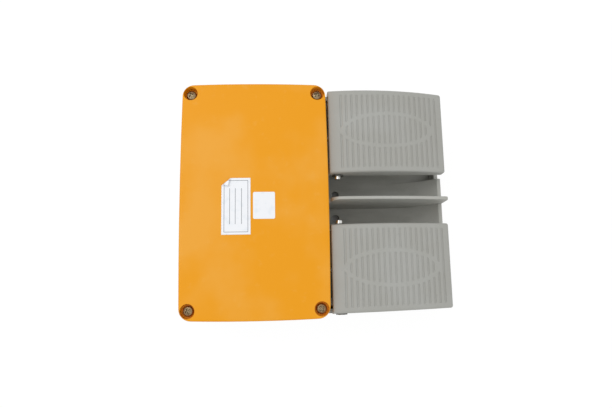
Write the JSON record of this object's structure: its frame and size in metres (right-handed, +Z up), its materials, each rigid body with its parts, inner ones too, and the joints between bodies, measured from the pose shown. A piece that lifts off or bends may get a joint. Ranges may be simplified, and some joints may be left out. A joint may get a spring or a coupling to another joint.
{
  "type": "industrial foot switch",
  "caption": "Double-pedal floor switch: cast tray with crowned sprung pedals and a centre fin, and a covered box with snap switches worked by plungers.",
  "frame": {"origin": "on the floor, under the middle of the whole device", "axes": "+Z up, +X to the right of a user who faces the device, +Y from the pedals towards the switch box"},
  "size_m": [0.2, 0.228, 0.0623],
  "materials": {
    "housing_grey": "die-cast aluminium in grey enamel",
    "cover_orange": "moulded orange plastic with a fine spark-eroded grain",
    "pedal_grey": "die-cast aluminium in light grey enamel",
    "bright_steel": "ground bright steel",
    "zinc_steel": "zinc-plated and yellow passivated steel",
    "black_steel": "black phosphated spring steel",
    "spring_steel": "drawn spring wire",
    "bracket_steel": "zinc-plated sheet",
    "bronze": "sintered bronze",
    "brass": "machined brass",
    "black_rubber": "moulded rubber",
    "switch_black": "moulded phenolic",
    "button_red": "moulded red plastic",
    "label_white": "coated white label"
  },
  "bodies": {
    "housing": {"base": "housing_grey", "cover": "cover_orange", "cover_gasket": "black_rubber", "cover_screws": "zinc_steel", "pedal_bushes": "bronze", "left_return_spring": "spring_steel", "right_return_spring": "spring_steel", "pedal_stops": "black_rubber", "plunger_guides": "brass", "guide_nuts": "zinc_steel", "plunger_seals": "black_rubber", "left_switch": "switch_black", "right_switch": "switch_black", "switch_terminals": "brass", "switch_brackets": "bracket_steel", "switch_screws": "zinc_steel", "switch_nuts": "zinc_steel", "bracket_screws": "zinc_steel", "earth_screw": "brass", "rubber_feet": "black_rubber", "foot_screws": "zinc_steel", "rating_label": "label_white", "blank_label": "label_white"},
    "left_pedal": {"left_pedal": "pedal_grey", "left_pedal_shaft": "bright_steel", "left_shaft_clips": "black_steel"},
    "right_pedal": {"right_pedal": "pedal_grey", "right_pedal_shaft": "bright_steel", "right_shaft_clips": "black_steel"},
    "left_plunger": {"left_plunger": "bright_steel"},
    "right_plunger": {"right_plunger": "bright_steel"},
    "left_switch_button": {"left_switch_button": "button_red"},
    "right_switch_button": {"right_switch_button": "button_red"}
  },
  "joints": [
    {"name": "left_pedal_hinge", "type": "hinge", "parent": "housing", "child": "left_pedal", "pos_m": [-0.05885, -0.0193, 0.0455], "axis": [1, 0, 0], "range_deg": [0, 10], "stiffness_Nm_per_rad": 10.6, "springref_deg": -7.28, "deforming": ["left_return_spring"]},
    {"name": "left_plunger_slide", "type": "slide", "parent": "housing", "child": "left_plunger", "axis": [0, 1, 0], "range_m": [0, 0.0023]},
    {"name": "left_button_slide", "type": "slide", "parent": "housing", "child": "left_switch_button", "axis": [0, 1, 0], "range_m": [0, 0.0023]},
    {"name": "right_pedal_hinge", "type": "hinge", "parent": "housing", "child": "right_pedal", "pos_m": [0.05885, -0.0193, 0.0455], "axis": [1, 0, 0], "range_deg": [0, 10], "stiffness_Nm_per_rad": 10.6, "springref_deg": -7.28, "deforming": ["right_return_spring"]},
    {"name": "right_plunger_slide", "type": "slide", "parent": "housing", "child": "right_plunger", "axis": [0, 1, 0], "range_m": [0, 0.0023]},
    {"name": "right_button_slide", "type": "slide", "parent": "housing", "child": "right_switch_button", "axis": [0, 1, 0], "range_m": [0, 0.0023]}
  ],
  "couplings": [
    {"joint": "left_plunger_slide", "follows": "left_pedal_hinge", "m_per_rad": 0.012908},
    {"joint": "left_button_slide", "follows": "left_pedal_hinge", "m_per_rad": 0.012908},
    {"joint": "right_plunger_slide", "follows": "right_pedal_hinge", "m_per_rad": 0.012908},
    {"joint": "right_button_slide", "follows": "right_pedal_hinge", "m_per_rad": 0.012908}
  ]
}
